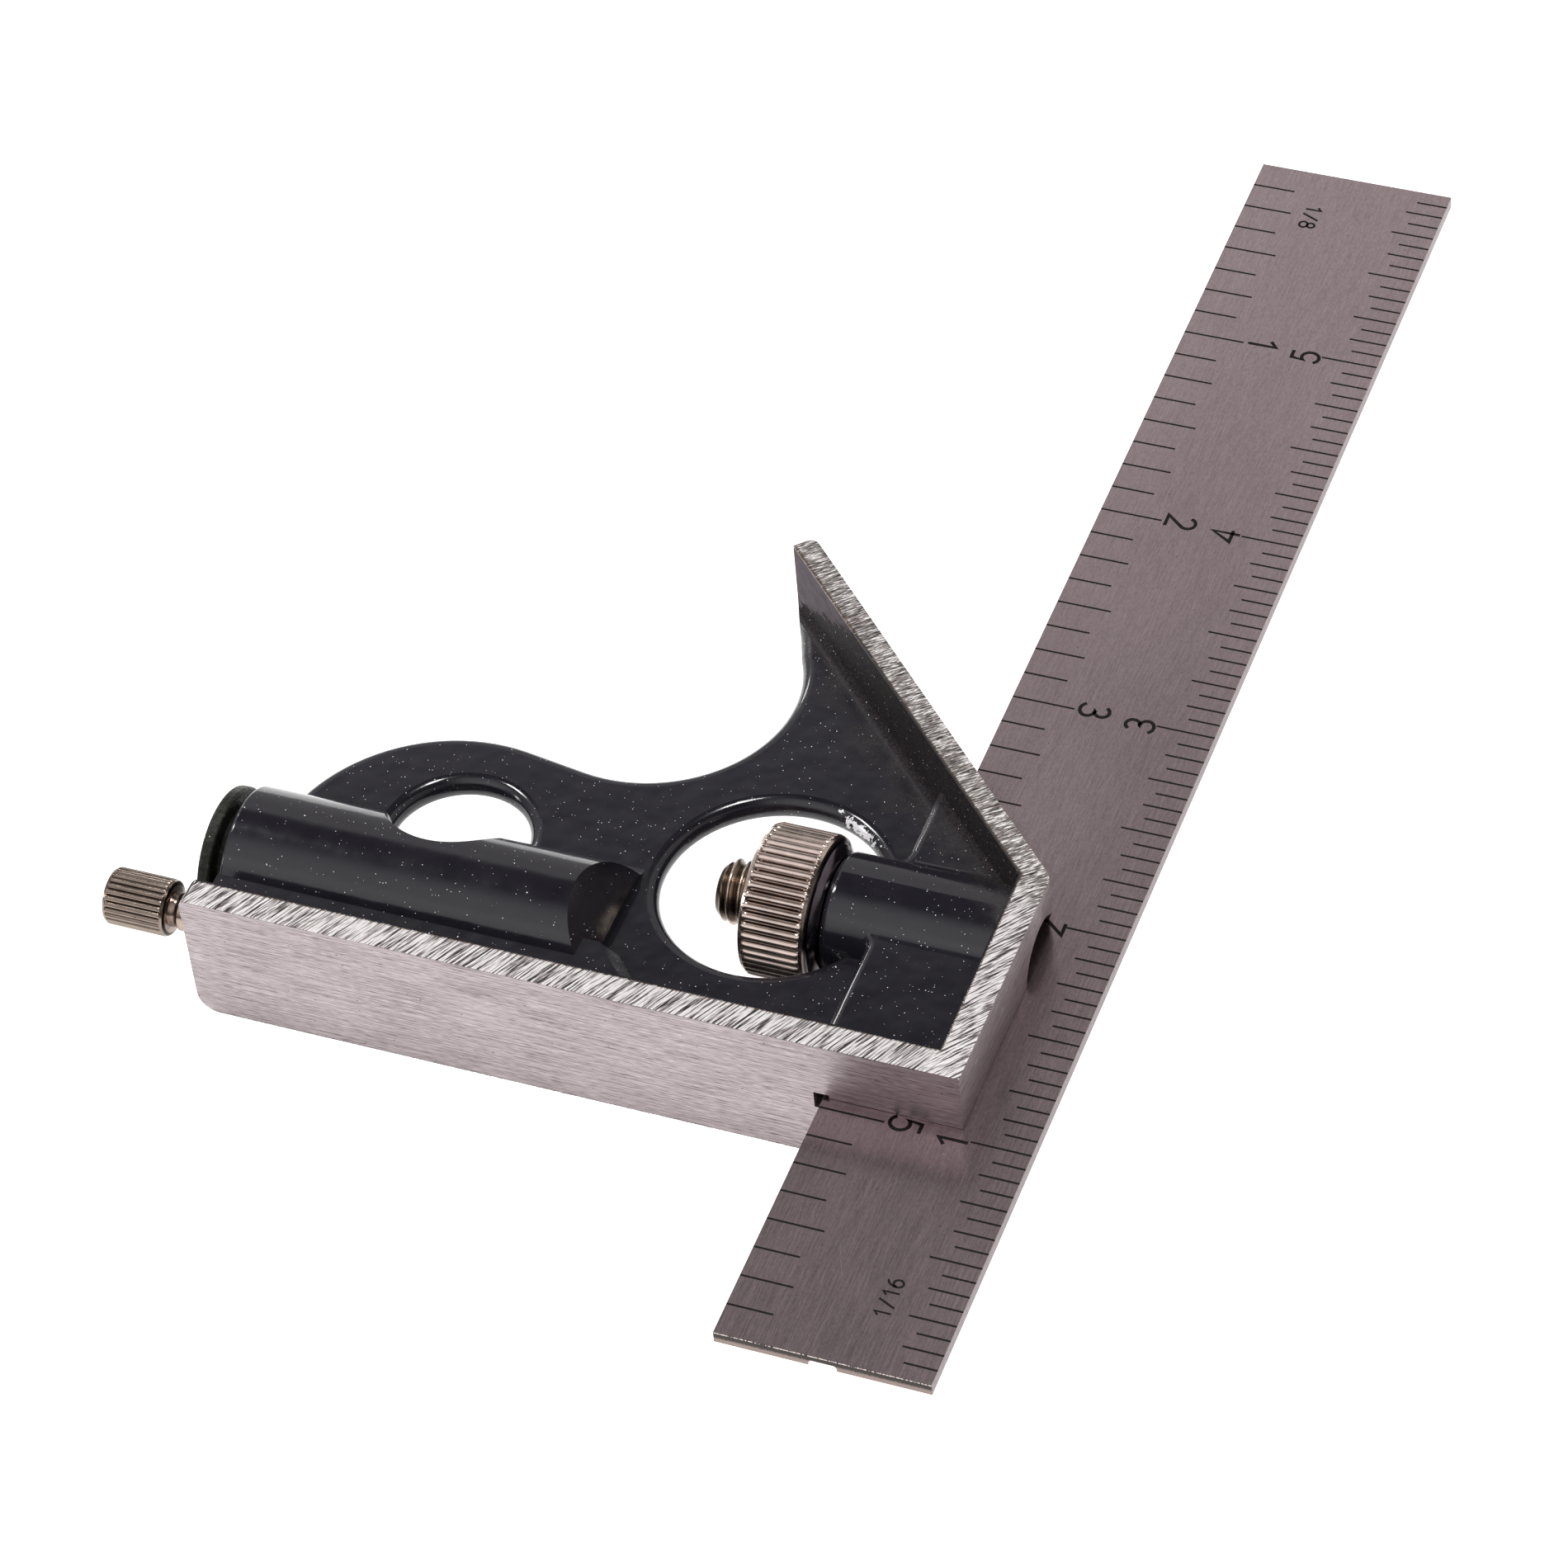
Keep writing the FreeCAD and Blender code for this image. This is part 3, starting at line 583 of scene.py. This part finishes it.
def lathe(axis_y, stations, segments, reach):
    """Closed skin round an axis along X. Stations that have a radius of 0 become one point on the axis.

    reach(station, angle) gives the radius at an angle, so that ribs and threads can be cut in.
    """
    bm = bmesh.new()
    loops = []
    for station in stations:
        x = station[0]
        if station[1] == 0:
            loops.append([bm.verts.new((x * MM, axis_y * MM, MID * MM))])
            continue
        loop = []
        for i in range(segments):
            angle = 2 * math.pi * i / segments
            r = reach(station, angle)
            y = axis_y + r * math.cos(angle)
            z = MID + r * math.sin(angle)
            loop.append(bm.verts.new((x * MM, y * MM, z * MM)))
        loops.append(loop)
    pairs = list(zip(loops, loops[1:]))
    if len(loops[0]) > 1 and len(loops[-1]) > 1:
        pairs.append((loops[-1], loops[0]))
    for a, b in pairs:
        for i in range(segments):
            j = (i + 1) % segments
            corners = [a[i % len(a)], a[j % len(a)], b[j % len(b)], b[i % len(b)]]
            face = list(dict.fromkeys(corners))
            bm.faces.new(face)
    return bm


def ribbed(ribs, depth):
    """Radius of a straight knurl: broad rounded ribs with narrow grooves between them."""
    def reach(station, angle):
        wave = 0.5 + 0.5 * math.cos(ribs * angle)
        return station[1] - depth * station[2] * (1 - wave ** 0.4)
    return reach


def rounded_band(x0, x1, radius, chamfer, fade):
    """Stations of a knurled band: a chamfer at each end and grooves that run out with rounded ends."""
    rows = [(x0, radius - chamfer, 0.0), (x0 + chamfer * 0.35, radius - chamfer * 0.35, 0.0)]
    rows.append((x0 + chamfer, radius - 0.03, 0.0))
    steps = 7
    for k in range(1, steps + 1):
        turn = math.pi / 2 * k / steps
        rows.append((x0 + chamfer + fade * (1 - math.cos(turn)), radius, math.sin(turn)))
    for k in range(steps, 0, -1):
        turn = math.pi / 2 * k / steps
        rows.append((x1 - chamfer - fade * (1 - math.cos(turn)), radius, math.sin(turn)))
    rows.append((x1 - chamfer, radius - 0.03, 0.0))
    rows.append((x1 - chamfer * 0.35, radius - chamfer * 0.35, 0.0))
    rows.append((x1, radius - chamfer, 0.0))
    return rows


def make_nut():
    low, high = (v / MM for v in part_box("clamp_nut"))
    left, right = low.x, high.x
    radius = (high.z - low.z) / 2
    band_right = left + NUT_BAND
    stations = [(left, 3.6, 0.0), (left, 5.9, 0.0)]
    stations += rounded_band(left, band_right, radius, 0.42, 0.58)
    stations += [
        (band_right + 0.10, radius - 0.68, 0.0),
        (band_right + 0.30, radius - 0.80, 0.0),
        (right - 0.12, radius - 1.35, 0.0),
        (right, radius - 1.5, 0.0),
        (right, 3.05, 0.0),
        (left + 0.55, 3.05, 0.0),
    ]
    ribs = ribbed(NUT_RIBS, NUT_GROOVE)
    return mesh_object("clamp_nut_knurled", lathe(CLAMP_Y, stations, NUT_RIBS * 14, ribs))


def make_scriber_head():
    low, high = (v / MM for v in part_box("scriber_head"))
    left, right = low.x, high.x
    radius = (high.z - low.z) / 2
    band_right = left + SCRIBER_BAND
    socket = left + 2.8
    stations = [(left, 0.0, 0.0), (left, 1.2, 0.0)]
    stations += rounded_band(left, band_right, radius, 0.32, 0.30)
    stations += [
        (band_right + 0.02, 1.62, 0.0),
        (band_right + 0.55, 1.55, 0.0),
        (band_right + 0.75, 1.62, 0.0),
        (band_right + 1.0, 1.80, 0.0),
        (right - 0.9, 1.80, 0.0),
        (right - 0.55, 1.66, 0.0),
        (right - 0.1, 1.66, 0.0),
        (right, 1.55, 0.0),
        (right, 1.0, 0.0),
        (socket, 1.0, 0.0),
        (socket, 0.0, 0.0),
    ]
    ribs = ribbed(SCRIBER_RIBS, SCRIBER_GROOVE)
    return mesh_object("scriber_head_knurled", lathe(SCRIBER_Y, stations, SCRIBER_RIBS * 12, ribs))


def make_thread():
    """The bolt's M6 shank: a right-handed thread of 1 mm pitch, running out under the head."""
    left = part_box("clamp_bolt")[0].x / MM
    right = BOLT_COLLAR_LEFT + 0.1
    deep = THREAD_CREST - THREAD_ROOT
    per_pitch = 12
    count = round((right - 1.2 - left) / THREAD_PITCH * per_pitch)
    stations = [(left, 0.0), (left, 1.2)]
    stations += [(left + k * THREAD_PITCH / per_pitch, 1.0) for k in range(count + 1)]
    stations += [(right - 0.6, 2.5), (right, 2.5), (right, 0.0)]

    def reach(station, angle):
        x = station[0]
        if station[1] != 1.0:
            return station[1]
        phase = (x / THREAD_PITCH - angle / (2 * math.pi)) % 1.0
        slope = abs(phase - 0.5) * 2
        flank = min(1.0, max(0.0, (slope - 0.10) / 0.75))
        lead = 2.15 + (x - left) * 0.9
        run_out = THREAD_ROOT + deep * min(1.0, max(0.0, right - 0.9 - x))
        return min(THREAD_CREST - deep * (1 - flank), lead, run_out)

    return mesh_object("clamp_bolt_thread", lathe(CLAMP_Y, stations, 72, reach), 60)


def make_bolt_head():
    """The plain end of the bolt under the blade, kept from the CAD solid beyond the collar."""
    bm = bmesh.new()
    bm.from_mesh(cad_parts["clamp_bolt"].data)
    bmesh.ops.remove_doubles(bm, verts=bm.verts, dist=0.001 * MM)
    cut = Vector(((BOLT_COLLAR_LEFT + 0.01) * MM, 0, 0))
    geometry = bm.verts[:] + bm.edges[:] + bm.faces[:]
    bmesh.ops.bisect_plane(bm, geom=geometry, plane_co=cut, plane_no=(-1, 0, 0), clear_outer=True)
    rim = [e for e in bm.edges if e.is_boundary]
    bmesh.ops.holes_fill(bm, edges=rim, sides=0)
    return mesh_object("clamp_bolt_head", bm, 30)


# ---------------------------------------------------------------- scales

def curve(cx, cy, rx, ry, start, end):
    """Points along part of an ellipse, in a glyph's own square."""
    steps = max(6, math.ceil(abs(end - start) / 12))
    angles = [math.radians(start + (end - start) * k / steps) for k in range(steps + 1)]
    return [(cx + rx * math.cos(a), cy + ry * math.sin(a)) for a in angles]


GLYPHS = {
    "0": [curve(0.30, 0.50, 0.26, 0.50, 0, 360)],
    "1": [[(0.08, 0.76), (0.34, 1.0), (0.34, 0.0)]],
    "2": [curve(0.29, 0.73, 0.25, 0.27, 165, -35) + [(0.04, 0.0), (0.56, 0.0)]],
    "3": [curve(0.27, 0.75, 0.23, 0.25, 155, -90) + curve(0.27, 0.26, 0.28, 0.26, 85, -155)],
    "4": [[(0.44, 0.0), (0.44, 1.0), (0.02, 0.28), (0.60, 0.28)]],
    "5": [[(0.52, 1.0), (0.15, 1.0), (0.10, 0.55)] + curve(0.27, 0.32, 0.28, 0.32, 118, -150)],
    "6": [curve(0.29, 0.31, 0.27, 0.31, 0, 360), curve(0.52, 0.33, 0.50, 0.67, 95, 178)],
    "7": [[(0.04, 1.0), (0.56, 1.0), (0.22, 0.0)]],
    "8": [curve(0.29, 0.76, 0.22, 0.24, 0, 360), curve(0.29, 0.27, 0.27, 0.27, 0, 360)],
    "9": [curve(0.29, 0.69, 0.27, 0.31, 0, 360), curve(0.06, 0.67, 0.50, 0.67, -85, -2)],
    "/": [[(0.02, -0.05), (0.52, 1.05)]],
}


def stroke(bm, points, width, face, outward):
    """Raised line of a given width along points that lie on a face of the blade."""
    points = [Vector(p) for p in points]
    closed = (points[0] - points[-1]).length < 1e-6
    if closed:
        points = points[:-1]
    n = len(points)
    sides = []
    for i, p in enumerate(points):
        before = points[i - 1] if closed or i > 0 else None
        after = points[(i + 1) % n] if closed or i < n - 1 else None
        first = (p - before).normalized() if before is not None else (after - p).normalized()
        second = (after - p).normalized() if after is not None else first
        normal = Vector((-first.y - second.y, first.x + second.x)).normalized()
        square = Vector((-first.y, first.x))
        spread = width / 2 / max(0.5, normal.dot(square))
        sides.append((p + normal * spread, p - normal * spread))
    levels = (face - outward * 0.004, face + outward * 0.010)
    rings = []
    for left, right in sides:
        rings.append([bm.verts.new((q.x * MM, q.y * MM, z * MM)) for q, z in (
            (left, levels[0]), (left, levels[1]), (right, levels[1]), (right, levels[0]))])
    pairs = list(zip(rings, rings[1:]))
    if closed:
        pairs.append((rings[-1], rings[0]))
    for a, b in pairs:
        for k in range(4):
            bm.faces.new((a[k], a[(k + 1) % 4], b[(k + 1) % 4], b[k]))
    if not closed:
        bm.faces.new(rings[0])
        bm.faces.new(rings[-1])


def write(bm, text, foot, centre_y, height, rise, width, face, outward):
    """Figures whose feet stand at x = foot. Rise is +1 or -1, the way their tops point along X."""
    advance = 0.78
    total = (advance * len(text) - (advance - 0.60)) * height
    reading = -rise * outward
    start_y = centre_y - reading * total / 2
    for k, letter in enumerate(text):
        for points in GLYPHS[letter]:
            placed = [
                (foot + rise * v * height, start_y + reading * (k * advance + u) * height) for u, v in points
            ]
            stroke(bm, placed, width, face, outward)


def ticks(bm, zero, direction, step, lengths, edge, inward, face, outward, last):
    """Division lines from one edge of the blade. Lengths maps a count of steps to a line's length."""
    count = 1
    while count * step < last:
        y = zero + direction * count * step
        length = next(size for every, size in lengths if count % every == 0)
        stroke(bm, [(edge, y), (edge + inward * length, y)], TICK_WIDTH, face, outward)
        count += 1


def make_scales():
    low, high = (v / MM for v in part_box("blade"))
    near, far, top, under = low.y, high.y, high.z, low.z
    length = far - near

    front = bmesh.new()
    eighths = ((8, 5.85), (4, 5.1), (2, 4.7), (1, 4.1))
    sixteenths = ((16, 5.4), (8, 4.6), (4, 4.15), (2, 3.6), (1, 2.95))
    ticks(front, far, -1, INCH / 8, eighths, low.x + 0.02, 1, top, 1, length - 0.5)
    ticks(front, near, 1, INCH / 16, sixteenths, high.x - 0.02, -1, top, 1, length - 0.5)
    for number in range(1, 6):
        write(front, str(number), 6.3, far - number * INCH + 0.2, 2.75, 1, 0.34, top, 1)
        write(front, str(number), 13.4, near + number * INCH - 0.3, 2.6, -1, 0.34, top, 1)
    write(front, "1/8", 5.95, far - 6.4, 1.5, 1, 0.22, top, 1)
    write(front, "1/16", 13.35, near + 7.6, 1.4, -1, 0.20, top, 1)

    back = bmesh.new()
    millimetres = ((10, 5.3), (5, 4.2), (1, 2.8))
    ticks(back, near, 1, 1.0, millimetres, low.x + 0.02, 1, under, -1, length - 0.5)
    ticks(back, far, -1, 1.0, millimetres, high.x - 0.02, -1, under, -1, length - 0.5)
    for number in range(1, 16):
        write(back, str(number), 5.75, near + number * 10, 2.1, 1, 0.28, under, -1)
        write(back, str(number), 13.25, far - number * 10, 2.1, -1, 0.28, under, -1)

    ink = etch_black()
    for name, bm in (("blade_inch_scales", front), ("blade_millimetre_scales", back)):
        piece = dress(mesh_object(name, bm), ink)
        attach(piece, "blade")


def make_vial_lines():
    """The two lines on the vial that the bubble rests between."""
    low, high = (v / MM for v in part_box("level_vial"))
    middle = (low.x + high.x) / 2
    radius = (high.z - low.z) / 2
    inner, outer = radius + 0.005, radius + 0.05
    bm = bmesh.new()
    for side in (-1, 1):
        x = middle + side * BUBBLE_HALF
        x0, x1 = x - 0.2, x + 0.2
        stations = [(x0, inner), (x0, outer), (x1, outer), (x1, inner)]
        ring = lathe(LEVEL_Y, stations, 96, lambda station, angle: station[1])
        mesh = bpy.data.meshes.new("ring")
        ring.to_mesh(mesh)
        ring.free()
        bm.from_mesh(mesh)
        bpy.data.meshes.remove(mesh)
    return mesh_object("level_vial_lines", bm)


# ---------------------------------------------------------------- build

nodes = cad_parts
nickel = plated(
    "nut_nickel", CLAMP_Y, NUT_RADIUS, NUT_GROOVE, 0.15,
    light=(0.68, 0.56, 0.49), dark=(0.035, 0.028, 0.030), plain=(0.22, 0.185, 0.21),
)
dark_nickel = plated(
    "scriber_nickel", SCRIBER_Y, SCRIBER_RADIUS, 0.24, 0.17,
    light=(0.25, 0.20, 0.165), dark=(0.012, 0.009, 0.008), plain=(0.62, 0.48, 0.40),
)
thread_nickel = plated(
    "thread_nickel", CLAMP_Y, 2.95, 0.50, 0.24,
    light=(0.56, 0.46, 0.37), dark=(0.08, 0.05, 0.035), plain=(0.16, 0.11, 0.08),
)

dress(nodes["head_casting"], cast_head())
dress(nodes["blade"], blade_steel())
dress(nodes["level_end_plug"], plug_plastic())
dress(nodes["level_vial"], clear("vial_glass", (0.94, 0.98, 0.96), 0.01, 1.5))
dress(nodes["level_liquid"], clear("vial_spirit", (0.60, 0.90, 0.16), 0.0, 1.36))
dress(nodes["level_bedding"], plaster())
dress(nodes["clamp_spring"], drawn_metal("spring_wire", (0.55, 0.55, 0.57), (0.26, 0.26, 0.28), 0.25))
dress(nodes["scriber_bush"], drawn_metal("bush_brass", (0.80, 0.60, 0.26), (0.42, 0.29, 0.10), 0.25))
dress(nodes["scriber_needle"], drawn_metal("needle_steel", (0.66, 0.66, 0.68), (0.34, 0.34, 0.36), 0.16))

nut = dress(make_nut(), nickel)
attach(nut, "nut")
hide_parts("clamp_nut")

scriber = dress(make_scriber_head(), dark_nickel)
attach(scriber, "scriber")
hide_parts("scriber_head")

thread = dress(make_thread(), thread_nickel)
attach(thread, "bolt")
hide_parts("clamp_bolt")

bolt_head = dress(make_bolt_head(), thread_nickel)
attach(bolt_head, "bolt")
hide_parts("clamp_bolt")

make_scales()
vial_lines = dress(make_vial_lines(), etch_black())
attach(vial_lines, "head")


# ---------------------------------------------------------------- stage, light and camera

def floor_white():
    """Pale and evenly glowing, with a painted shadow under the stock and the nut: darker colour and no glow
    there.
    """
    t = Tree("floor_white")
    # Painted shadow: under the stock and the nut the floor is darker and does not glow.
    shade = t.both(
        t.ramp(t.math("ABSOLUTE", t.sub(t.x, -26.0)), 27.0, 31.0, 1.0, 0.0),
        t.ramp(t.math("ABSOLUTE", t.sub(t.y, 9.0)), 5.5, 7.5, 1.0, 0.0),
    )
    return t.finish(
        Base_Color=t.ramp(shade, 0.0, 1.0, 0.78, 0.30),
        Roughness=0.9,
        Specular_IOR_Level=0.0,
        Emission_Color=(1, 1, 1),
        Emission_Strength=t.ramp(shade, 0.0, 1.0, 0.95, 0.0),
    )


def make_floor():
    bm = bmesh.new()
    half = 4.0
    height = cad_low.z - 0.02 * MM
    corners = ((-half, -half), (half, -half), (half, half), (-half, half))
    bm.faces.new([bm.verts.new((x, y, height)) for x, y in corners])
    mesh = bpy.data.meshes.new("floor")
    bm.to_mesh(mesh)
    bm.free()
    floor = bpy.data.objects.new("floor", mesh)
    bpy.context.scene.collection.objects.link(floor)
    dress(floor, floor_white())


def softbox(name, place, target, width, height, power):
    light = bpy.data.lights.new(name, "AREA")
    light.shape = "RECTANGLE"
    light.size = width
    light.size_y = height
    light.energy = power
    obj = bpy.data.objects.new(name, light)
    obj.location = place
    obj.rotation_euler = (Vector(target) - Vector(place)).to_track_quat("-Z", "Y").to_euler()
    bpy.context.scene.collection.objects.link(obj)


# The studio's brightness against the height of the direction: 0 at the horizon, 1 straight up.
WALLS = (
    (0.0, 0.50),
    (0.50, 0.62),
    (0.66, 0.78),
    (0.69, 0.62),
    (0.728, 0.26),
    (0.755, 0.06),
    (0.90, 0.035),
)


def make_world():
    """A studio with a pale backdrop behind the table, dark overhead, and a soft glow above the front."""
    world = bpy.data.worlds.new("studio")
    world.use_nodes = True
    g = Graph(world.node_tree)
    direction = g.nodes.new("ShaderNodeTexCoord").outputs["Generated"]
    parts = g.split(direction)
    walls = g.shades(parts["Z"], *((level, (v, v * 0.975, v * 0.985)) for level, v in WALLS))
    behind = g.ramp(parts["Y"], -0.8, 0.3, 0.26, 1.0)
    above_front = Vector((-0.26, -0.62, 0.74)).normalized()
    toward = g.vector("DOT_PRODUCT", direction, above_front, output="Value")
    glow = g.ramp(toward, 0.74, 1.0, 0.0, 1.15, shape="SMOOTHSTEP")
    backdrop = g.vector("MULTIPLY", walls, behind)
    lit = g.vector("MULTIPLY_ADD", glow, (0.96, 0.94, 0.975), backdrop)
    g.links.new(lit, g.nodes["Background"].inputs["Color"])
    bpy.context.scene.world = world


def make_camera():
    camera = bpy.data.objects.new("camera", bpy.data.cameras.new("camera"))
    place = Vector((0.13963, -0.30545, 0.39184))
    target = Vector((-0.01625, 0.03415, 0.0070))
    roll = math.radians(-6.05)
    camera.data.lens = 138.3
    camera.data.sensor_width = 36.0
    camera.data.clip_start = 0.01
    camera.data.clip_end = 20.0
    camera.location = place
    camera.rotation_mode = "QUATERNION"
    facing = (target - place).to_track_quat("-Z", "Y")
    camera.rotation_quaternion = facing @ Matrix.Rotation(roll, 3, "Z").to_quaternion()
    bpy.context.scene.collection.objects.link(camera)
    bpy.context.scene.camera = camera


make_floor()
make_world()
softbox("overhead", (0.04, 0.17, 0.95), (-0.02, 0.03, 0), 0.18, 0.13, 3.4)
softbox("upper_left", (-0.58, 0.12, 0.80), (-0.02, 0.02, 0), 0.14, 0.20, 3.2)
softbox("low_left", (-0.90, -0.35, 0.28), (-0.02, 0.02, 0), 0.08, 0.22, 0.8)
softbox("behind_left", (-0.72, 0.62, 0.36), (-0.01, 0.02, 0), 0.05, 0.26, 0.6)
make_camera()
bpy.context.scene.view_settings.view_transform = "Standard"

bpy.context.view_layer.update()
